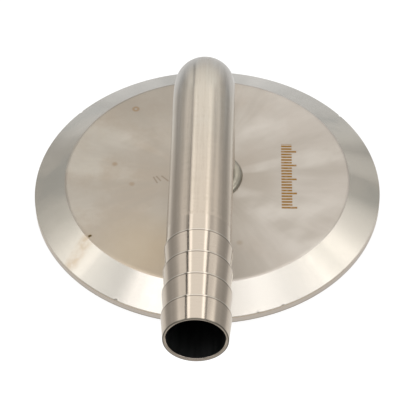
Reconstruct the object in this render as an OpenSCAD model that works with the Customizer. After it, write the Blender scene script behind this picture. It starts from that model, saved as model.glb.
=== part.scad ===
// Round sanitary clamp end cap with a tube welded through its middle. The tube rises as a neck,
// bends through 90 degrees and runs level over the cap's rim to a toothed hose barb.
// Origin: centre of the sealing face. +Z points away from the vessel, the barb's mouth faces -Y.

/* [End cap] */
// Diameter of the rim that the clamp closes round
cap_d = 119; // [118:0.1:125]
// Height of the rim's straight side
rim_h = 2.85; // [2:0.05:4]
// Thickness of the cap in the middle
cap_t = 8.15; // [6.5:0.05:12]
// Diameter of the flat top inside the bevel
top_d = 96.6; // [60:0.2:98]
// Chamfer on the lower edge of the rim
rim_chamfer = 0.3; // [0.1:0.05:0.6]

/* [Gasket groove] */
// Diameter of the groove's centre line
groove_d = 110.3; // [100:0.1:112]
// Width of the half-round groove
groove_w = 3.2; // [2:0.1:4]

/* [Tube] */
// Outside diameter of the tube
tube_d = 19.05; // [18:0.05:24]
// Bore of the tube and of the barb
bore_d = 16.4; // [10:0.1:16.8]
// Height of the level run's axis above the sealing face
axis_h = 65.5; // [58:0.5:120]
// Radius of the bend's centre line
bend_r = 28.6; // [20:0.1:38]
// Distance from the neck's axis to the barb's mouth
reach = 120.5; // [95:0.5:200]

/* [Hose barb] */
// Length of the barb piece
barb_l = 38.9; // [36:0.1:50]
// Diameter over the teeth
tooth_d = 19.8; // [19.4:0.1:21]
// Diameter of each tooth at its small end
root_d = 18.3; // [17.8:0.1:19]
// Length of one tooth
tooth_l = 8.2; // [6:0.1:8.5]
// Number of teeth
tooth_count = 4; // [2:1:4]
// Width of the narrow cylindrical band at the big end of each tooth
tooth_land = 0.5; // [0.3:0.05:0.8]
// Chamfer on the sharp edges of the teeth and round the outside of the mouth
edge_chamfer = 0.1; // [0.05:0.05:0.15]
// Chamfer round the mouth's bore
mouth_chamfer = 0.3; // [0.1:0.05:0.3]

/* [Welds] */
// Width of the fillet bead on the cap
bead_w = 2.8; // [1.5:0.1:4]
// Height of the fillet bead on the neck
bead_h = 1.8; // [1:0.1:4]
// Width and depth of the seal weld at the sealing face
root_leg = 1.2; // [0.6:0.1:1.3]
// Width of the butt weld between the tube and the barb
butt_w = 1.2; // [0.6:0.1:2]

/* [Hidden] */
$fn = 96;

cap_r = cap_d / 2;
tube_r = tube_d / 2;
bore_r = bore_d / 2;
root_r = root_d / 2;
tooth_r = tooth_d / 2;
neck_h = axis_h - bend_r;
barb_start = reach - barb_l;
tube_end = barb_start - butt_w;
teeth_l = tooth_count * tooth_l;
// How far a cutting solid reaches past the face that it cuts
over = 1;
// Steps in the rounded profile of the fillet bead
bead_steps = 8;

// Disc with a straight rim, a bevel and a flat top. Its hole takes the tube, and is countersunk
// at the sealing face for the seal weld.
module end_cap() {
    color("#bdb7ae")
        difference() {
            rotate_extrude()
                polygon([
                    [tube_r + root_leg, 0],
                    [cap_r - rim_chamfer, 0],
                    [cap_r, rim_chamfer],
                    [cap_r, rim_h],
                    [top_d / 2, cap_t],
                    [tube_r, cap_t],
                    [tube_r, root_leg]
                ]);
            gasket_groove();
        }
}

// Half-round ring cut in the sealing face, which centres the gasket.
module gasket_groove() {
    rotate_extrude()
        translate([groove_d / 2, 0])
            circle(d = groove_w);
}

// Round bar along the tube's whole route, through neck, bend and level run, with both of its ends
// lengthened by extra.
module along_route(radius, extra) {
    translate([0, 0, -extra])
        cylinder(r = radius, h = neck_h + extra);
    translate([0, -bend_r, neck_h])
        rotate([90, 0, 90])
            rotate_extrude(angle = 90)
                translate([bend_r, 0])
                    circle(r = radius);
    translate([0, -bend_r, axis_h])
        rotate([90, 0, 0])
            cylinder(r = radius, h = tube_end - bend_r + extra);
}

// One length of tube, with its lower end flush with the sealing face.
module bent_tube() {
    color("#b9b0a3")
        difference() {
            along_route(tube_r, 0);
            along_route(bore_r, over);
        }
}

// Outline points of tooth i, from its small end, which is nearer the mouth, to its sharp edge.
// Each point is [radius, distance back from the mouth].
function tooth(i) = [
    [root_r, i * tooth_l + (i == 0 ? edge_chamfer : 0)],
    [tooth_r, (i + 1) * tooth_l - tooth_land],
    [tooth_r, (i + 1) * tooth_l - edge_chamfer],
    [tooth_r - edge_chamfer, (i + 1) * tooth_l]
];

// Turned end piece: the open mouth, the teeth and a plain length of the tube's diameter.
module hose_barb() {
    color("#c4bbae")
        translate([0, -reach, axis_h])
            rotate([-90, 0, 0])
                rotate_extrude()
                    polygon([
                        [root_r - edge_chamfer, 0],
                        for (i = [0 : tooth_count - 1]) each tooth(i),
                        [tube_r, teeth_l],
                        [tube_r, barb_l],
                        [bore_r, barb_l],
                        [bore_r, mouth_chamfer],
                        [bore_r + mouth_chamfer, 0]
                    ]);
}

// Point of the fillet bead's convex surface, a quarter of an ellipse from its toe on the cap (t = 0)
// to its toe on the neck (t = 1).
function bead(t) = [tube_r + bead_w * cos(90 * t), cap_t + bead_h * sin(90 * t)];

// Fillet bead round the foot of the neck.
module neck_weld() {
    color("#d0cbc2")
        rotate_extrude()
            polygon([
                [tube_r, cap_t],
                for (k = [0 : bead_steps]) bead(k / bead_steps)
            ]);
}

// Seal weld that fills the countersink, ground flush with the sealing face.
module root_weld() {
    color("#a9a59d")
        rotate_extrude()
            polygon([
                [tube_r, 0],
                [tube_r + root_leg, 0],
                [tube_r, root_leg]
            ]);
}

// Butt weld between tube and barb, ground flush inside and out.
module barb_weld() {
    color("#b3aa9c")
        translate([0, -tube_end, axis_h])
            rotate([90, 0, 0])
                difference() {
                    cylinder(r = tube_r, h = butt_w);
                    translate([0, 0, -over])
                        cylinder(r = bore_r, h = butt_w + 2 * over);
                }
}

end_cap();
bent_tube();
hose_barb();
neck_weld();
root_weld();
barb_weld();
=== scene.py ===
import math

import bmesh
import bpy
from mathutils import Matrix, Vector


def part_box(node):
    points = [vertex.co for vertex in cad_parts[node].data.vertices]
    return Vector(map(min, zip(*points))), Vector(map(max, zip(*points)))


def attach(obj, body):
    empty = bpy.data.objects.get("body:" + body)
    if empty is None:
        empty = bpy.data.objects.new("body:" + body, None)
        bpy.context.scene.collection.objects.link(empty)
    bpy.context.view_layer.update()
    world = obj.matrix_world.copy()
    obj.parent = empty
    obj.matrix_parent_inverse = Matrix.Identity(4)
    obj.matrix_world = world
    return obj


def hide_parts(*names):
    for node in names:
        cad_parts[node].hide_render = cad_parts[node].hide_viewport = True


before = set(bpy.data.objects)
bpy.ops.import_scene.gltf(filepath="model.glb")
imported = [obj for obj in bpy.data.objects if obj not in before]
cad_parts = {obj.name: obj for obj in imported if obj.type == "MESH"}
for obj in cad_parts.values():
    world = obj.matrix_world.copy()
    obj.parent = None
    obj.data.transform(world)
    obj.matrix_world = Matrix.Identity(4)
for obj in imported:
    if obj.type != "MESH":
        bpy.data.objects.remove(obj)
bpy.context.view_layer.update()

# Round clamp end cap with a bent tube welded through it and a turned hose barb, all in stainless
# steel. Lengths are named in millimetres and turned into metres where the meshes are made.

MM = 0.001

# ---- Sizes, in millimetres: from the CAD nodes' boxes where those show them, else as in the CAD ----

def corners_of(node):
    """Lowest and highest corners of a CAD node."""
    return [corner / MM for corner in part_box(node)]


CAP_HIGH = corners_of("end_cap")[1]
TUBE_LOW, TUBE_HIGH = corners_of("bent_tube")
BARB_LOW, BARB_HIGH = corners_of("hose_barb")
BEAD_HIGH = corners_of("neck_weld")[1]
SEAL_HIGH = corners_of("root_weld")[1]

CAP_R = CAP_HIGH.x
CAP_T = CAP_HIGH.z
RIM_H = 2.85
TOP_R = 48.3
GROOVE_R = 55.15
GROOVE_W = 3.2

TUBE_R = TUBE_HIGH.x
BORE_R = 8.2
BEND_R = 28.6
AXIS_H = TUBE_HIGH.z - TUBE_R
NECK_H = AXIS_H - BEND_R
TUBE_END = -TUBE_LOW.y

REACH = -BARB_LOW.y
BARB_L = BARB_HIGH.y - BARB_LOW.y
TOOTH_R = BARB_HIGH.x
ROOT_R = 9.15
TOOTH_L = 8.2
TOOTH_COUNT = 4
TOOTH_LAND = 0.5
MOUTH_CHAMFER = 0.3

SEAL_LEG = SEAL_HIGH.z
BEAD_TOE_R = BEAD_HIGH.x
BEAD_TOE_Z = BEAD_HIGH.z

# Points round each piece
CAP_AROUND = 1024
TUBE_AROUND = 128
BARB_AROUND = 192
BEAD_AROUND = 360
# Edges bent by more than this are shaded sharp
SHARP_ANGLE = math.radians(32)

# Finishes of the cap, and of the tube, the barb and their seam, in the order of their materials
TOP, BEVEL, RIM, UNDER = range(4)
OUTSIDE, BORE = range(2)


# ---- Outlines ----

def corner_arc(before, corner, after, radius, steps):
    """Arc that rounds a corner, with a guard point just outside each end."""
    guard = 0.12
    into = (before - corner).normalized()
    out = (after - corner).normalized()
    half = into.angle(out) / 2
    reach = radius / math.tan(half)
    centre = corner + (into + out).normalized() * (radius / math.sin(half))
    first = corner + into * reach - centre
    last = corner + out * reach - centre
    sweep = first.angle_signed(last)
    arc = [centre + Matrix.Rotation(-sweep * k / steps, 2) @ first for k in range(steps + 1)]
    return [corner + into * (reach + guard)] + arc + [corner + out * (reach + guard)]


def outline(corners, longest=4.0, steps=6):
    """Closed outline from corners (x, y, radius, zone): [point, zone] pairs, where a corner's zone
    holds from its arc up to the next corner. Long straight stretches are divided."""
    spots = [Vector(corner[:2]) for corner in corners]
    result = []
    for i, (_, _, radius, zone) in enumerate(corners):
        before, here, after = spots[i - 1], spots[i], spots[(i + 1) % len(spots)]
        points = corner_arc(before, here, after, radius, steps) if radius else [here]
        gap = (after - points[-1]).length
        extra = int(gap / longest)
        points += [points[-1].lerp(after, k / (extra + 1)) for k in range(1, extra + 1)]
        result += [[point, zone] for point in points]
    return result


def turned(profile, around, axis_point, axis, across):
    """Rings of a turned piece. The profile's x is the radius and its y the distance along the axis."""
    side = axis.cross(across)
    rings = []
    for point, _ in profile:
        centre = axis_point + axis * point.y
        rings.append([
            centre + (across * math.cos(turn) + side * math.sin(turn)) * point.x
            for turn in (2 * math.pi * j / around for j in range(around))
        ])
    return rings


# ---- Meshes ----

def lengths_along(rings):
    """Distance along the first point of each ring, with the closing stretch at the end."""
    firsts = [ring[0] for ring in rings] + [rings[0][0]]
    total = [0.0]
    for here, after in zip(firsts, firsts[1:]):
        total.append(total[-1] + (after - here).length)
    return total


def skin(name, rings, zones, materials):
    """Closed mesh through rings of points in millimetres; the last ring joins the first. Its UV map
    "grain" holds the distance along the piece in metres and the turn round it from 0 to 1."""
    count, around = len(rings), len(rings[0])
    along = lengths_along(rings)
    faces, coordinates, slots = [], [], []
    for i in range(count):
        after = (i + 1) % count
        for j in range(around):
            k = (j + 1) % around
            faces.append((i * around + j, i * around + k, after * around + k, after * around + j))
            start, end = along[i] * MM, along[i + 1] * MM
            low, high = j / around, (j + 1) / around
            coordinates += [start, low, start, high, end, high, end, low]
            slots.append(zones[i])
    mesh = bpy.data.meshes.new(name)
    mesh.from_pydata([point * MM for ring in rings for point in ring], [], faces)
    for material in materials:
        mesh.materials.append(material)
    mesh.polygons.foreach_set("material_index", slots)
    mesh.uv_layers.new(name="grain").data.foreach_set("uv", coordinates)
    mesh.polygons.foreach_set("use_smooth", [True] * len(faces))
    face_outwards(mesh)
    mesh.set_sharp_from_angle(angle=SHARP_ANGLE)
    piece = bpy.data.objects.new(name, mesh)
    bpy.context.scene.collection.objects.link(piece)
    return piece


def face_outwards(mesh):
    """Turns every face of a closed mesh to look outwards."""
    facing = bmesh.new()
    facing.from_mesh(mesh)
    bmesh.ops.recalc_face_normals(facing, faces=facing.faces)
    facing.to_mesh(mesh)
    facing.free()


def dent(rings, place, width, push):
    """Small smooth dent: points near place move by up to push, in millimetres."""
    for ring in rings:
        for point in ring:
            distance = (point - place).length
            if distance < 3 * width:
                point += push * math.exp(-(distance / width) ** 2)


# ---- Node trees ----

class Net:
    """A node tree with short calls for the nodes that the materials and the world share."""

    def __init__(self, tree):
        self.tree = tree
        tree.nodes.clear()

    def node(self, kind, feeds=None, **settings):
        made = self.tree.nodes.new("ShaderNode" + kind)
        for key, value in settings.items():
            setattr(made, key, value)
        for key, value in (feeds or {}).items():
            self.feed(made.inputs[key], value)
        return made

    def feed(self, socket, value):
        if isinstance(value, bpy.types.NodeSocket):
            self.tree.links.new(value, socket)
        elif value is not None:
            socket.default_value = value

    def math(self, operation, first, second=None, clamp=False):
        feeds = {0: first, 1: second}
        return self.node("Math", feeds, operation=operation, use_clamp=clamp).outputs[0]

    def chain(self, operation, values):
        """Joins two or more values by one operation, from the first to the last."""
        result = values[0]
        for value in values[1:]:
            result = self.math(operation, result, value)
        return result

    def plus(self, *values):
        return self.chain("ADD", values)

    def times(self, *values):
        return self.chain("MULTIPLY", values)

    def most(self, *values):
        return self.chain("MAXIMUM", values)

    def minus(self, first, second):
        return self.math("SUBTRACT", first, second)

    def over(self, first, second):
        return self.math("DIVIDE", first, second)

    def step(self, value, low, high, start=0.0, end=1.0):
        """Smooth change from start to end as value goes from low to high."""
        feeds = {"Value": value, "From Min": low, "From Max": high, "To Min": start, "To Max": end}
        return self.node("MapRange", feeds, interpolation_type="SMOOTHSTEP").outputs[0]

    def fall(self, value, low, high):
        """1 up to low, 0 from high on, and a smooth change between them."""
        return self.step(value, low, high, 1.0, 0.0)

    def band(self, value, start, full, fade, end):
        """1 from full to fade, 0 up to start and from end on."""
        return self.times(self.step(value, start, full), self.fall(value, fade, end))

    def ramp(self, value, stops):
        """Straight pieces between (place, level) stops, with places from 0 to 1."""
        made = self.node("ValToRGB", {"Fac": value})
        band = made.color_ramp.elements
        while len(band) < len(stops):
            band.new(1.0)
        for element, (place, level) in zip(band, stops):
            element.position = place
            element.color = (level, level, level, 1)
        return made.outputs["Color"]

    def blend(self, factor, first, second, how="MIX"):
        made = self.node("Mix", data_type="RGBA", blend_type=how)
        self.feed(made.inputs[0], factor)
        self.feed(made.inputs[6], first)
        self.feed(made.inputs[7], second)
        return made.outputs[2]

    def noise(self, vector, scale, detail=2.0, roughness=0.5):
        feeds = {"Vector": vector, "Scale": scale, "Detail": detail, "Roughness": roughness}
        return self.node("TexNoise", feeds).outputs["Fac"]

    def split(self, vector):
        return self.node("SeparateXYZ", {0: vector}).outputs

    def join(self, x, y, z):
        return self.node("CombineXYZ", {0: x, 1: y, 2: z}).outputs[0]

    def length(self, x, y):
        """Length of the flat vector (x, y)."""
        return self.node("VectorMath", {0: self.join(x, y, 0.0)}, operation="LENGTH").outputs["Value"]


class Finish(Net):
    """Metal finish whose grain follows the piece's "grain" UV map."""

    def __init__(self, name):
        self.material = bpy.data.materials.new(name)
        self.material.use_nodes = True
        super().__init__(self.material.node_tree)
        self.place = self.node("TexCoord").outputs["Object"]
        grain = self.split(self.node("UVMap", uv_map="grain").outputs["UV"])
        self.along = grain[0]
        turn = self.times(grain[1], 2 * math.pi)
        self.cosine = self.math("COSINE", turn)
        self.sine = self.math("SINE", turn)

    def grain(self, around, along, detail=2.0, roughness=0.5):
        """Noise with so many features per radian round the piece and per metre along it."""
        vector = self.join(
            self.times(self.cosine, around),
            self.times(self.sine, around),
            self.times(self.along, along),
        )
        return self.noise(vector, 1.0, detail, roughness)

    def spot(self, x, y, inner, outer):
        """1 within inner of the point (x, y), 0 beyond outer, all in millimetres on the plate."""
        here = self.split(self.place)
        distance = self.length(self.minus(here[0], x * MM), self.minus(here[1], y * MM))
        return self.fall(distance, inner * MM, outer * MM)

    def streak(self, start, end, inner, outer):
        """1 within inner of the line from start to end, 0 beyond outer, in millimetres on the plate."""
        first, last = Vector(start) * MM, Vector(end) * MM
        line = last - first
        here = self.split(self.place)
        across = self.minus(here[0], first.x)
        up = self.minus(here[1], first.y)
        share = self.plus(self.times(across, line.x), self.times(up, line.y))
        share = self.math("DIVIDE", share, line.length_squared, clamp=True)
        across = self.minus(across, self.times(share, line.x))
        up = self.minus(up, self.times(share, line.y))
        return self.fall(self.length(across, up), inner * MM, outer * MM)

    def fan(self, azimuth, spread):
        """Fan round the piece's axis: 1 at the azimuth, 0 beyond the spread, both in degrees."""
        turn = math.radians(azimuth)
        toward = self.plus(
            self.times(self.cosine, math.cos(turn)),
            self.times(self.sine, math.sin(turn)),
        )
        return self.step(toward, math.cos(math.radians(spread)), 1.0)

    def metal(self, colour, roughness, bump, strength, anisotropy):
        """Finishes the material: a metal with its highlight stretched along the piece."""
        bumped = self.node("Bump", {"Strength": strength, "Distance": 0.1 * MM, "Height": bump})
        tangent = self.node("Tangent", direction_type="UV_MAP", uv_map="grain")
        shader = self.node("BsdfPrincipled", {
            "Base Color": colour,
            "Roughness": roughness,
            "Metallic": 1.0,
            "Anisotropic": anisotropy,
            "Normal": bumped.outputs[0],
            "Tangent": tangent.outputs[0],
        })
        self.node("OutputMaterial", {"Surface": shader.outputs[0]})
        return self.material


def rgb(red, green, blue):
    return (red, green, blue, 1.0)


# ---- Steel finishes ----

STEEL = rgb(0.62, 0.600, 0.548)
STEEL_WARM = rgb(0.635, 0.567, 0.496)
RUST = rgb(0.33, 0.225, 0.13)

# Marks on the flat top, in millimetres. Small stains are (x, y, radius, depth of colour).
STAINS = ((-32.0, 5.5, 1.5, 0.5), (-25.6, -4.1, 1.5, 0.4), (11.5, -31.0, 1.6, 0.3))
RING_STAIN = (-26.1, 33.5)
# Ends of three short scratches beside the tube
SCRATCHES = (
    ((-18.3, -0.8), (-17.0, -3.4)),
    ((-17.3, -0.4), (-15.9, -2.4)),
    ((-15.5, -0.2), (-13.3, -2.4)),
)
# Ends of the pit at the flat top's edge and of the brown smear that runs outwards from it
PIT = ((-38.5, -28.7), (-38.2, -28.5))
SMEAR = ((-39.3, -29.8), (-44.0, -37.0))

# Painted highlights on the bevel, as bright fans: (azimuth in degrees, spread in degrees, strength)
BEVEL_HIGHLIGHTS = (
    (-24, 17, 1.0), (-148, 10, 0.3), (9, 8, 0.65), (67, 9, 0.4), (118, 12, 0.5), (146, 12, 0.4),
)


def plateau_steel():
    """Flat top: mill finish with painted highlight fans and patches, painted shadow round the neck,
    painted shade at the back left, a golden tint, small stains and a tick mark.
    """
    brown_grey = rgb(0.480, 0.422, 0.356)
    light_grey = rgb(0.555, 0.524, 0.472)
    rightward_grey = rgb(0.565, 0.528, 0.495)
    wedge_grey = rgb(0.41, 0.375, 0.335)
    shade_grey = rgb(0.375, 0.340, 0.300)
    neck_shadow_grey = rgb(0.42, 0.376, 0.328)
    golden = rgb(0.54, 0.440, 0.308)
    net = Finish("plateau_steel")
    wedges = net.grain(around=2.2, along=14.0, detail=4.0, roughness=0.6)
    cloud = net.noise(net.place, 48.0, 5.0, 0.62)
    colour = net.blend(net.step(cloud, 0.37, 0.63), brown_grey, light_grey)
    # Lighter towards the right of the flat top
    lighter_rightwards = net.step(net.split(net.place)[0], -30 * MM, 40 * MM, 0.0, 0.85)
    colour = net.blend(lighter_rightwards, colour, rightward_grey)
    colour = net.blend(net.step(wedges, 0.40, 0.62, 0.0, 0.55), colour, wedge_grey)
    # Painted shade: a darker patch at the back left of the flat top
    shade_patch = net.times(net.spot(-24.0, 40.0, 4.0, 30.0), 0.65)
    colour = net.blend(shade_patch, colour, shade_grey)
    # Painted shadow of the neck and tube on the flat top, round the neck and beside it
    shadow_around_neck = net.times(net.spot(0.0, 0.0, 14.0, 34.0), 0.4)
    shadow_beside_neck = net.times(net.spot(16.0, -3.0, 3.0, 13.0), 0.6)
    colour = net.blend(net.most(shadow_around_neck, shadow_beside_neck), colour, neck_shadow_grey)
    # Painted highlights on the flat top
    colour = painted_highlights(net, colour, cloud)
    tint = net.times(net.spot(-20.6, -36.1, 2.0, 26.0), 0.5)
    colour = net.blend(tint, colour, golden)
    colour = stained(net, colour)
    colour = tick_marked(net, colour)
    roughness = net.step(wedges, 0.3, 0.7, 0.44, 0.34)
    rubbed = net.grain(around=160.0, along=700.0, detail=4.0, roughness=0.7)
    return net.metal(colour, roughness, rubbed, strength=0.35, anisotropy=0.35)


def painted_highlights(net, colour, cloud):
    """Painted highlights: soft bright fans and patches on the flat top, broken up by wisps and cloud."""
    wisps = net.noise(net.join(*wisp_axes(net)), 1.0, 3.0, 0.5)
    broken = net.times(net.step(wisps, 0.34, 0.66), net.step(cloud, 0.30, 0.55, 0.4, 1.0))
    highlight_fans = net.most(net.fan(52, 17), net.fan(-36, 19), net.fan(14, 9))
    patches = net.most(
        net.spot(-27.0, 17.0, 0.0, 9.0),
        net.spot(37.0, -20.0, 4.0, 22.0),
        net.spot(14.0, 36.0, 0.0, 18.0),
    )
    # Painted highlight: strength of the bright fans and patches
    strength = net.times(net.most(highlight_fans, patches), 0.5)
    return net.blend(net.times(strength, broken), colour, rgb(0.73, 0.700, 0.665))


def wisp_axes(net):
    """Coordinates stretched along one slant across the flat top, for wisps twice as long as wide."""
    x, y, z = net.split(net.place)
    lengthwise = net.plus(net.times(x, 30.0), net.times(y, 22.0))
    crosswise = net.minus(net.times(y, 62.0), net.times(x, 45.0))
    return lengthwise, crosswise, z


def stained(net, colour):
    """Adds the small stains, the three short scratches and the pit at the flat top's edge."""
    ring = net.minus(net.spot(*RING_STAIN, 0.8, 1.7), net.spot(*RING_STAIN, 0.2, 0.8))
    colour = net.blend(net.times(ring, 0.75), colour, RUST)
    for x, y, size, depth in STAINS:
        mark = net.spot(x, y, 0.2 * size, size)
        colour = net.blend(net.times(mark, depth), colour, RUST)
    for start, end in SCRATCHES:
        mark = net.times(net.streak(start, end, 0.0, 0.5), 0.5)
        colour = net.blend(mark, colour, rgb(0.20, 0.150, 0.100))
    colour = smeared(net, colour, 0.5)
    return net.blend(net.streak(*PIT, 0.2, 0.7), colour, rgb(0.10, 0.065, 0.02))


def smeared(net, colour, depth):
    """Brown smear that runs outwards from the pit across the bevel."""
    blotch = net.step(net.noise(net.place, 300.0, 3.0, 0.6), 0.30, 0.62, 0.25, 1.0)
    mask = net.times(net.streak(*SMEAR, 0.3, 3.6), blotch, depth)
    return net.blend(mask, colour, rgb(0.50, 0.385, 0.26))


def tick_marked(net, colour):
    """Adds a plain row of etched ticks, golden brown, beside the tube. Every fifth tick is long."""
    left, right, low, high, pitch = 25.4, 30.9, -15.3, 16.2, 1.35
    shorter, side_fade, end_fade = 1.6, 0.25, 0.2
    x, y, _ = net.split(net.place)
    cell = net.over(net.minus(y, low * MM), pitch * MM)
    number = net.math("FLOOR", cell)
    part = net.math("FRACT", cell)
    long_tick = net.math("LESS_THAN", net.math("FLOORED_MODULO", number, 5.0), 0.5)
    short = net.times(net.minus(1.0, long_tick), shorter * MM)
    past_edge = net.minus(x, net.minus(right * MM, short))
    inside = net.times(
        net.step(x, left * MM, (left + side_fade) * MM),
        net.fall(past_edge, -side_fade * MM, 0.0),
        net.step(y, low * MM, (low + end_fade) * MM),
        net.fall(y, (high - end_fade) * MM, high * MM),
    )
    bar = net.band(part, 0.05, 0.20, 0.65, 0.85)
    worn = net.step(net.noise(net.place, 900.0, 2.0), 0.25, 0.5, 0.65, 1.0)
    return net.blend(net.times(inside, bar, worn), colour, rgb(0.31, 0.17, 0.045))


def bevel_steel():
    """Bevel: turned steel with cool patches, painted highlight fans and a dark fan of painted shade,
    smoother than the flat top.
    """
    pale_grey = rgb(0.66, 0.635, 0.580)
    mid_grey = rgb(0.58, 0.560, 0.515)
    cool_grey = rgb(0.43, 0.445, 0.425)
    cream = rgb(0.74, 0.705, 0.650)
    highlight_cream = rgb(0.87, 0.835, 0.775)
    shade_grey = rgb(0.42, 0.410, 0.375)
    net = Finish("bevel_steel")
    wedges = net.grain(around=3.0, along=6.0, detail=3.0)
    cloud = net.noise(net.place, 52.0, 3.0, 0.5)
    colour = net.blend(net.step(wedges, 0.36, 0.62), pale_grey, mid_grey)
    y = net.split(net.place)[1]
    patch = net.times(
        net.step(cloud, 0.48, 0.66),
        net.step(y, -40 * MM, 20 * MM, 0.1, 0.5),
        net.step(y, 30 * MM, 48 * MM, 1.0, 0.2),
    )
    colour = net.blend(patch, colour, cool_grey)
    colour = net.blend(net.step(cloud, 0.32, 0.46, 0.4, 0.0), colour, cream)
    # Painted highlights: bright fans at the listed azimuths
    highlight_fans = [net.times(net.fan(azimuth, spread), strength) for azimuth, spread, strength in BEVEL_HIGHLIGHTS]
    colour = net.blend(net.times(net.most(*highlight_fans), 0.85), colour, highlight_cream)
    # Painted shade: a dark fan at azimuth -125
    colour = net.blend(net.times(net.fan(-125, 11), 0.8), colour, shade_grey)
    colour = smeared(net, colour, 0.6)
    turning = net.grain(around=2.0, along=9000.0, detail=3.0, roughness=0.7)
    roughness = net.step(wedges, 0.3, 0.7, 0.205, 0.265)
    return net.metal(colour, roughness, turning, strength=0.12, anisotropy=0.3)


def rim_steel():
    """Straight side of the rim: duller, golden along its top edge and darkened by painted shade along
    its lower edge.
    """
    net = Finish("rim_steel")
    patches = net.grain(around=9.0, along=150.0, detail=4.0)
    colour = net.blend(patches, rgb(0.50, 0.455, 0.420), rgb(0.66, 0.615, 0.570))
    height = net.split(net.place)[2]
    golden = net.step(height, (RIM_H - 0.75) * MM, (RIM_H - 0.4) * MM, 0.0, 0.75)
    colour = net.blend(golden, colour, rgb(0.52, 0.405, 0.280))
    # Painted shade along the rim's lower edge, by the floor
    low = net.step(height, 0.35 * MM, 0.75 * MM, 0.8, 0.0)
    colour = net.blend(low, colour, rgb(0.30, 0.275, 0.240))
    roughness = net.step(patches, 0.3, 0.7, 0.34, 0.46)
    turning = net.grain(around=2.0, along=7000.0, detail=3.0)
    return net.metal(colour, roughness, turning, strength=0.25, anisotropy=0.3)


def underside_steel():
    """Sealing face, groove and the hole's wall: fine concentric turning marks."""
    net = Finish("underside_steel")
    turning = net.grain(around=1.5, along=3500.0, detail=3.0, roughness=0.7)
    cloud = net.noise(net.place, 60.0, 2.0)
    colour = net.blend(net.step(cloud, 0.3, 0.7), STEEL_WARM, STEEL)
    roughness = net.step(turning, 0.3, 0.7, 0.28, 0.36)
    return net.metal(colour, roughness, turning, strength=0.3, anisotropy=0.5)


def tube_steel():
    """Outside of the bent tube: brushed round the tube, faintly streaked along it, warmer in front."""
    neutral = rgb(0.62, 0.600, 0.551)
    warm = rgb(0.63, 0.588, 0.527)
    warmest = rgb(0.635, 0.555, 0.475)
    net = Finish("tube_steel")
    brushed = net.grain(around=1.5, along=2600.0, detail=3.0, roughness=0.65)
    cloud = net.grain(around=1.2, along=55.0, detail=3.0)
    colour = net.blend(net.step(cloud, 0.3, 0.7), neutral, warm)
    warmer = net.step(net.split(net.place)[1], -75 * MM, -15 * MM, 0.8, 0.0)
    colour = net.blend(warmer, colour, warmest)
    streaks = net.grain(around=11.0, along=45.0, detail=4.0, roughness=0.6)
    rubbed = net.times(net.step(brushed, 0.35, 0.75, 0.2, 1.0), net.step(streaks, 0.36, 0.66, 0.0, 0.42))
    colour = net.blend(rubbed, colour, rgb(0.46, 0.415, 0.350))
    roughness = net.step(cloud, 0.3, 0.7, 0.19, 0.25)
    return net.metal(colour, roughness, brushed, strength=0.1, anisotropy=0.75)


def barb_steel():
    """Outside of the barb: turned bright, with fine marks round it, two soft painted dark reflections
    along its top, a painted shade line and a painted highlight at each tooth, and a painted dark
    reflection round the mouth's edge."""
    net = Finish("barb_steel")
    turning = net.grain(around=1.0, along=5200.0, detail=3.0, roughness=0.7)
    colour = net.blend(net.step(turning, 0.42, 0.75, 0.0, 0.45), STEEL_WARM, rgb(0.52, 0.465, 0.400))
    back = net.plus(net.split(net.place)[1], REACH * MM)
    # Painted reflection: two soft dark strips along the top, fading towards the back
    dark_reflection_strips = net.most(net.times(net.fan(30, 15), 0.5), net.times(net.fan(-30, 14), 0.4))
    dark_reflection_strips = net.times(dark_reflection_strips, net.fall(back, 4 * MM, 32 * MM))
    colour = net.blend(dark_reflection_strips, colour, rgb(0.36, 0.320, 0.275))
    colour = tooth_edged(net, colour, back)
    # Painted reflection: a dark ring round the mouth's edge
    colour = net.blend(net.times(mouth_edge(net, back), 0.85), colour, rgb(0.16, 0.150, 0.125))
    roughness = net.step(turning, 0.3, 0.7, 0.10, 0.145)
    return net.metal(colour, roughness, turning, strength=0.07, anisotropy=0.75)


def tooth_edged(net, colour, back):
    """Adds a painted shade line and then a painted highlight near the big end of each tooth."""
    part = net.math("FRACT", net.over(back, TOOTH_L * MM))
    on_teeth = net.math("LESS_THAN", back, (TOOTH_COUNT * TOOTH_L + 0.05) * MM)
    inside = net.times(net.step(back, 1.0 * MM, 1.2 * MM), on_teeth)
    # Painted shade: thin dark line before each tooth's edge
    dark = net.times(net.band(part, 0.895, 0.915, 0.940, 0.955), inside, 0.6)
    colour = net.blend(dark, colour, rgb(0.22, 0.195, 0.165))
    # Painted highlight: bright band at each tooth's edge
    bright = net.times(net.step(part, 0.950, 0.965), inside)
    return net.blend(bright, colour, rgb(0.72, 0.675, 0.615))


def mouth_edge(net, back):
    """1 on the outermost ring of the mouth's face, 0 elsewhere: the mask of the painted dark reflection
    round the mouth's edge.
    """
    inner_r, outer_r = 8.78, 8.92
    x, _, z = net.split(net.place)
    radius = net.length(x, net.minus(z, AXIS_H * MM))
    return net.times(net.step(radius, inner_r * MM, outer_r * MM), net.fall(back, 0.2 * MM, 0.35 * MM))


def shaded_bore_steel():
    """Inside walls: dull and unpolished, and near-black as painted shade."""
    net = Finish("shaded_bore_steel")
    streaks = net.grain(around=6.0, along=40.0, detail=3.0)
    # Painted shade: near-black colour for the inside of the tube
    colour = net.blend(streaks, rgb(0.030, 0.034, 0.034), rgb(0.075, 0.080, 0.080))
    roughness = net.step(streaks, 0.3, 0.7, 0.5, 0.65)
    return net.metal(colour, roughness, streaks, strength=0.2, anisotropy=0.0)


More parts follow.
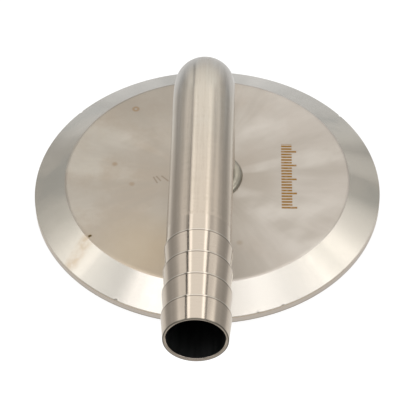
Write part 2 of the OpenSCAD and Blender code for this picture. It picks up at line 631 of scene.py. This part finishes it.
def bead_steel():
    """Fillet bead: smooth solidified ripples, duller than the tube, with painted shade where it meets
    it.
    """
    net = Finish("bead_steel")
    ripple = net.grain(around=2.5, along=40.0, detail=2.0)
    colour = net.blend(net.step(ripple, 0.3, 0.7), rgb(0.43, 0.405, 0.345), rgb(0.35, 0.335, 0.290))
    # Painted shade where the bead meets the tube
    root = net.step(net.along, 3.1 * MM, 3.8 * MM, 0.0, 0.8)
    colour = net.blend(root, colour, rgb(0.17, 0.165, 0.145))
    roughness = net.step(ripple, 0.3, 0.7, 0.20, 0.26)
    return net.metal(colour, roughness, ripple, strength=0.05, anisotropy=0.0)


def ground_steel():
    """Weld ground flush: fine grinding marks round the seam."""
    net = Finish("ground_steel")
    marks = net.grain(around=3.0, along=2400.0, detail=3.0, roughness=0.7)
    cloud = net.noise(net.place, 260.0, 2.0)
    colour = net.blend(net.step(cloud, 0.3, 0.7), STEEL, STEEL_WARM)
    roughness = net.step(marks, 0.3, 0.7, 0.19, 0.25)
    return net.metal(colour, roughness, marks, strength=0.1, anisotropy=0.75)


# ---- Pieces ----

UP = Vector((0, 0, 1))
RIGHT = Vector((1, 0, 0))
BACK = Vector((0, 1, 0))


def groove_corners():
    """Half-round gasket groove as corners of the cap's outline, from its inner lip outwards."""
    steps = 14
    turns = [math.pi * (1 - k / steps) for k in range(steps + 1)]
    half = GROOVE_W / 2
    return [(GROOVE_R + half * math.cos(t), half * math.sin(t), 0, UNDER) for t in turns]


def on_bevel(distance):
    """Point of the bevel's outline at a distance inwards from the rim's edge."""
    share = distance / (CAP_R - TOP_R)
    return CAP_R - distance, RIM_H + (CAP_T - RIM_H) * share


# Width of the nicks in the rim's upper edge, and each nick's azimuth in degrees and depth
NICK_W = 0.45
NICKS = ((-64.3, 0.26), (-72.9, 0.22), (-119.0, 0.3), (38.0, 0.2), (141.0, 0.2))


def cap_corners():
    """Outline of the cap: radius and height, with the radius that breaks each edge."""
    lower_edge, upper_edge, shoulder = 0.3, 0.22, 2.2
    return [
        (TUBE_R + SEAL_LEG, 0, 0, UNDER),
        *groove_corners(),
        (CAP_R, 0, lower_edge, RIM),
        (CAP_R, RIM_H, upper_edge, BEVEL),
        *((*on_bevel(distance), 0, BEVEL) for distance in (0.6, 1.0, 1.5)),
        (TOP_R, CAP_T, shoulder, TOP),
        (TUBE_R, CAP_T, 0, UNDER),
        (TUBE_R, SEAL_LEG, 0, UNDER),
    ]


def cap_plate():
    """The disc: sealing face with its groove, rim, bevel and flat top, with the edges broken."""
    profile = outline(cap_corners())
    rings = turned(profile, CAP_AROUND, Vector((0, 0, 0)), UP, RIGHT)
    for azimuth, depth in NICKS:
        turn = math.radians(azimuth)
        outward = Vector((math.cos(turn), math.sin(turn), 0))
        edge = outward * CAP_R + UP * RIM_H
        dent(rings, edge, NICK_W, -(outward + UP * 0.6) * depth)
    zones = [zone for _, zone in profile]
    finishes = [plateau_steel(), bevel_steel(), rim_steel(), underside_steel()]
    return skin("cap_plate", rings, zones, finishes)


def route():
    """Stations along the tube: [centre, direction away from the bend's inside]."""
    neck_steps, bend_steps, run_steps = 12, 64, 24
    stations = [[UP * (NECK_H * k / neck_steps), BACK] for k in range(neck_steps)]
    pivot = Vector((0, -BEND_R, NECK_H))
    for k in range(bend_steps + 1):
        turn = math.radians(90 * k / bend_steps)
        outward = BACK * math.cos(turn) + UP * math.sin(turn)
        stations.append([pivot + outward * BEND_R, outward])
    run = TUBE_END - BEND_R
    for k in range(1, run_steps + 1):
        stations.append([Vector((0, -BEND_R - run * k / run_steps, AXIS_H)), UP])
    return stations


def tube_shell():
    """The bent tube with its wall: outer skin one way along the route, inner skin back."""
    rings, zones = [], []
    stations = route()
    for radius, zone, path in ((TUBE_R, OUTSIDE, stations), (BORE_R, BORE, stations[::-1])):
        for centre, outward in path:
            rings.append([
                centre + (outward * math.cos(turn) + RIGHT * math.sin(turn)) * radius
                for turn in (2 * math.pi * j / TUBE_AROUND for j in range(TUBE_AROUND))
            ])
            zones.append(zone)
    return skin("tube_shell", rings, zones, [tube_steel(), shaded_bore_steel()])


def barb_corners():
    """Outline of the barb: radius and distance back from the mouth, with the radius that breaks
    each edge or fills each inner corner."""
    inner, edge, land = 0.08, 0.1, 0.2
    corners = [(ROOT_R, 0, edge, OUTSIDE)]
    for i in range(TOOTH_COUNT):
        if i:
            corners.append((ROOT_R, i * TOOTH_L, inner, OUTSIDE))
        corners.append((TOOTH_R, (i + 1) * TOOTH_L - TOOTH_LAND, land, OUTSIDE))
        corners.append((TOOTH_R, (i + 1) * TOOTH_L, edge, OUTSIDE))
    corners += [
        (TUBE_R, TOOTH_COUNT * TOOTH_L, inner, OUTSIDE),
        (TUBE_R, BARB_L, 0, OUTSIDE),
        (BORE_R, BARB_L, 0, BORE),
        (BORE_R, MOUTH_CHAMFER, edge, OUTSIDE),
        (BORE_R + MOUTH_CHAMFER, 0, edge, OUTSIDE),
    ]
    return corners


def barb_turned():
    """The turned hose barb, open at the mouth."""
    profile = outline(barb_corners(), longest=2.0, steps=4)
    rings = turned(profile, BARB_AROUND, Vector((0, -REACH, AXIS_H)), BACK, UP)
    zones = [zone for _, zone in profile]
    return skin("barb_turned", rings, zones, [barb_steel(), shaded_bore_steel()])


def weld_bead():
    """Fillet bead round the foot of the neck: steep at its toe, flatter on top, faintly rippled.
    "fill" is the share of the CAD bead's width and height that it takes up on average."""
    steps, ripples, fill = 14, 52, 0.97
    width = (BEAD_TOE_R - TUBE_R) * fill
    height = (BEAD_TOE_Z - CAP_T) * fill
    rings = []
    for k in range(steps + 1):
        lean = math.pi / 2 * k / steps
        ring = []
        for j in range(BEAD_AROUND):
            turn = 2 * math.pi * j / BEAD_AROUND
            uneven = 1 + 0.025 * math.sin(3 * turn + 0.6) + 0.015 * math.sin(7 * turn)
            ripple = 0.003 * math.sin(ripples * turn + 1.5 * lean) * math.sin(2 * lean)
            out = width * uneven * math.cos(lean) + ripple
            up = height * uneven * math.sin(lean) + ripple
            spoke = RIGHT * math.cos(turn) + BACK * math.sin(turn)
            ring.append(spoke * (TUBE_R + out) + UP * (CAP_T + up))
        rings.append(ring)
    foot = [(Vector((TUBE_R, CAP_T)), 0)]
    rings += turned(foot, BEAD_AROUND, Vector((0, 0, 0)), UP, RIGHT)
    return skin("weld_bead", rings, [0] * len(rings), [bead_steel()])


def seal_ring():
    """Seal weld in the countersink, ground flush with the sealing face."""
    corners = [(TUBE_R, 0), (TUBE_R + SEAL_LEG, 0), (TUBE_R, SEAL_LEG)]
    profile = outline([(*corner, 0, OUTSIDE) for corner in corners], longest=0.6)
    rings = turned(profile, BARB_AROUND, Vector((0, 0, 0)), UP, RIGHT)
    return skin("seal_ring", rings, [0] * len(rings), [ground_steel()])


def seam_ring():
    """Butt weld between tube and barb, ground flush and brushed like the tube."""
    start, end = REACH - TUBE_END, BARB_L
    corners = [
        (BORE_R, end, 0, OUTSIDE),
        (TUBE_R, end, 0, OUTSIDE),
        (TUBE_R, start, 0, BORE),
        (BORE_R, start, 0, BORE),
    ]
    profile = outline(corners, longest=0.6)
    zones = [zone for _, zone in profile]
    rings = turned(profile, BARB_AROUND, Vector((0, -REACH, AXIS_H)), BACK, UP)
    return skin("seam_ring", rings, zones, [tube_steel(), shaded_bore_steel()])


def build_object():
    """Makes the six pieces. Each rides on the only body and stands for one CAD node."""
    for piece, node, slot in (
        (cap_plate(), "end_cap", "machined_steel"),
        (tube_shell(), "bent_tube", "brushed_tube"),
        (barb_turned(), "hose_barb", "turned_steel"),
        (weld_bead(), "neck_weld", "weld_bead"),
        (seal_ring(), "root_weld", "ground_weld"),
        (seam_ring(), "barb_weld", "ground_weld"),
    ):
        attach(piece, "root")
        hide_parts(node)


# ---- Studio ----

# Half width, half depth and height of the light tent, in millimetres
TENT_W = 300.0
TENT_D = 400.0
TENT_H = 450.0
# Level of the walls up the tent: [share of the height, level]
WALL_RISE = [(0, 0.38), (0.13, 0.38), (0.31, 0.47), (0.44, 0.66), (0.56, 0.82), (0.78, 0.95), (1, 1.0)]
BACK_RISE = [(0, 0.63), (0.13, 0.66), (0.27, 0.78), (0.46, 0.92), (0.7, 0.99), (1, 1.05)]


def floor():
    """Plain white sweep under the object, with only a soft contact shadow."""
    half = 3000 * MM
    mesh = bpy.data.meshes.new("floor")
    mesh.from_pydata([(-half, -half, 0), (half, -half, 0), (half, half, 0), (-half, half, 0)],
                     [], [(0, 1, 2, 3)])
    material = bpy.data.materials.new("floor_white")
    material.use_nodes = True
    net = Net(material.node_tree)
    paper = net.node("BsdfDiffuse", {"Color": rgb(0.34, 0.34, 0.34)})
    lift = net.node("Emission", {"Color": rgb(1, 1, 1), "Strength": 0.78})
    both = net.node("AddShader", {0: paper.outputs[0], 1: lift.outputs[0]})
    net.node("OutputMaterial", {"Surface": both.outputs[0]})
    mesh.materials.append(material)
    ground = bpy.data.objects.new("floor", mesh)
    bpy.context.scene.collection.objects.link(ground)
    ground.visible_glossy = False


def studio_light():
    """White light for the floor and the backdrop. The metal sees the light tent instead."""
    world = bpy.data.worlds.new("studio")
    bpy.context.scene.world = world
    world.use_nodes = True
    net = Net(world.node_tree)
    plain = net.node("Background", {"Color": rgb(1, 1, 1)})
    net.node("OutputWorld", {"Surface": plain.outputs[0]})
    bpy.context.scene.view_settings.view_transform = "Standard"


def glow(name, pattern):
    """Glowing cloth of the light tent. The pattern gives its level from x, y and z in millimetres."""
    material = bpy.data.materials.new(name)
    material.use_nodes = True
    net = Net(material.node_tree)
    place = net.node("TexCoord").outputs["Object"]
    millimetres = net.node("VectorMath", {0: place, 1: (1 / MM,) * 3}, operation="MULTIPLY")
    x, y, z = net.split(millimetres.outputs[0])
    level = pattern(net, x, y, z)
    colour = net.blend(1.0, cloth_tone(net, x, y, z), level, how="MULTIPLY")
    lamp = net.node("Emission", {"Color": colour})
    net.node("OutputMaterial", {"Surface": lamp.outputs[0]})
    # Only reflections see the cloth, so it isn't sampled as a lamp
    material.cycles.emission_sampling = "NONE"
    return material


def cloth_tone(net, x, y, z):
    """Tint of the cloth: cream, cool low down at the back, and pinkish high up in front."""
    cream = rgb(1.0, 0.965, 0.908)
    cool_white = rgb(1.0, 1.005, 1.02)
    pinkish_white = rgb(1.0, 0.972, 0.965)
    behind = net.minus(y, net.times(net.math("ABSOLUTE", x), 0.9))
    cool = net.times(net.step(behind, -15.0, 40.0), net.fall(z, 10.0, 120.0))
    front = net.times(net.fall(y, -30.0, 60.0), net.step(z, 150.0, 300.0))
    return net.blend(front, net.blend(cool, cream, cool_white), pinkish_white)


def wall_level(net, y, z):
    """Side wall: dim near the floor, brighter upwards and most of all high up towards the front."""
    rise = net.ramp(net.over(z, TENT_H), WALL_RISE)
    front = net.times(net.fall(y, 20.0, 125.0), net.step(z, 190.0, 340.0))
    low = net.times(net.band(y, 240.0, 310.0, 330.0, 380.0), net.fall(z, 90.0, 145.0))
    high = net.times(net.step(y, 150.0, 290.0), net.step(z, 240.0, 310.0))
    level = net.plus(rise, net.times(front, 0.62), net.times(low, 0.2))
    return net.minus(level, net.times(high, 0.22))


def left_pattern(net, x, y, z):
    """Left wall, with the end of the ceiling's dark gap at its top."""
    lift = net.times(net.fall(y, 104.0, 122.0), net.step(z, 215.0, 285.0))
    gap = net.times(net.step(y, 200.0, 260.0), net.step(z, 355.0, 385.0))
    level = net.plus(wall_level(net, y, z), net.times(lift, 0.25))
    return net.minus(level, net.times(gap, 0.35))


def right_pattern(net, x, y, z):
    """Right wall, brighter towards the front than the left one, with a fainter dark gap."""
    lift = net.times(net.fall(y, 104.0, 122.0), net.step(z, 195.0, 270.0))
    gap = net.times(net.step(y, 240.0, 300.0), net.step(z, 290.0, 340.0))
    level = net.plus(wall_level(net, y, z), net.times(lift, 0.6))
    return net.minus(level, net.times(gap, 0.12))


def front_pattern(net, x, y, z):
    """Front wall, behind the camera: dim all over."""
    return net.step(z, 0.0, TENT_H, 0.34, 0.42)


def back_pattern(net, x, y, z):
    """Back wall: pale in the middle, dim in the corners, with a dark seam that leans to the left."""
    middle = net.ramp(net.over(z, TENT_H), BACK_RISE)
    corner = net.step(net.math("ABSOLUTE", x), 215.0, TENT_W)
    level = net.blend(corner, middle, wall_level(net, y, z))
    seam_x = net.plus(net.times(z, z, 0.00034), 95.0, net.times(z, 0.24))
    seam_w = net.plus(net.times(z, 0.05), 14.0)
    offset = net.over(net.math("ABSOLUTE", net.plus(x, seam_x)), seam_w)
    return net.blend(net.step(offset, 0.7, 1.2, 0.55, 0.0), level, rgb(0.15, 0.15, 0.15))


def top_pattern(net, x, y, z):
    """Ceiling: a long panel over the tube with brighter edges, and a dark gap outside the panel that
    is deeper on the left. "across" is 0 over the tube and 1 at the panel's border."""
    half = net.plus(net.times(net.most(net.minus(y, 135.0), 0.0), 0.27), 205.0)
    across = net.over(net.math("ABSOLUTE", x), half)
    left = net.fall(x, -20.0, 20.0)
    edge = net.times(net.step(across, 0.58, 0.70), net.fall(y, 318.0, 352.0))
    rolled = net.times(net.step(across, 0.84, 0.97), net.step(y, 0.0, 80.0))
    edge = net.times(edge, net.minus(1.0, rolled), net.step(left, 0.0, 1.0, 0.75, 0.60))
    panel = net.plus(net.step(y, -60.0, 70.0, 1.5, 1.10), edge)
    ends = net.most(left, net.fall(y, 200.0, 260.0))
    gap = net.times(net.step(y, 40.0, 90.0), ends, net.fall(across, 1.22, 1.30))
    depth = net.step(left, 0.0, 1.0, 0.55, 0.85)
    front = net.step(left, 0.0, 1.0, 1.2, 1.25)
    outside = net.minus(net.step(y, 0.0, 110.0, front, 0.95), net.times(gap, depth))
    return net.blend(net.fall(across, 0.98, 1.02), outside, panel)


def floor_pattern(net, x, y, z):
    """Floor as the metal sees it: pale near the object and behind it, dim far out at the sides."""
    near = net.fall(net.length(x, y), 75.0, 215.0)
    middle = net.fall(net.math("ABSOLUTE", x), 60.0, 230.0)
    pale = net.most(near, net.times(net.step(y, 50.0, 120.0), middle))
    trough = net.band(y, 110.0, 165.0, 300.0, 360.0)
    level = net.plus(net.times(pale, 0.42), 0.42)
    return net.minus(level, net.times(trough, pale, 0.19))


def light_tent():
    """Box of glowing cloth that only the metal's reflections see."""
    w, d, h, drop = TENT_W * MM, TENT_D * MM, TENT_H * MM, -1 * MM
    sides = ((-1, -1), (1, -1), (1, 1), (-1, 1))
    corners = [(sx * w, sy * d, z) for z in (drop, h) for sx, sy in sides]
    faces = [(0, 1, 2, 3), (4, 5, 6, 7), (0, 3, 7, 4), (1, 2, 6, 5), (2, 3, 7, 6), (0, 1, 5, 4)]
    mesh = bpy.data.meshes.new("light_tent")
    mesh.from_pydata(corners, [], faces)
    sheets = (floor_pattern, top_pattern, left_pattern, right_pattern, back_pattern, front_pattern)
    for number, pattern in enumerate(sheets):
        mesh.materials.append(glow(f"tent_{number}", pattern))
    mesh.polygons.foreach_set("material_index", range(len(faces)))
    tent = bpy.data.objects.new("light_tent", mesh)
    bpy.context.scene.collection.objects.link(tent)
    tent.visible_camera = False
    tent.visible_diffuse = False
    tent.visible_shadow = False


def camera():
    """Long lens looking down on the barb's side at 46 degrees."""
    aim = Vector((0.432, -7.362, 0.0)) * MM
    distance = 607.9 * MM
    elevation, turned_by, roll = math.radians(46.09), math.radians(1.72), math.radians(-0.70)
    data = bpy.data.cameras.new("camera")
    data.sensor_width = 36.0
    data.lens = 152.95
    data.clip_start = 0.01
    seat = (Matrix.Translation(aim)
            @ Matrix.Rotation(turned_by, 4, "Z")
            @ Matrix.Rotation(math.radians(90) - elevation, 4, "X")
            @ Matrix.Rotation(roll, 4, "Z")
            @ Matrix.Translation((0, 0, distance)))
    viewer = bpy.data.objects.new("camera", data)
    viewer.matrix_world = seat
    bpy.context.scene.collection.objects.link(viewer)
    bpy.context.scene.camera = viewer


camera()
studio_light()
light_tent()
floor()
build_object()
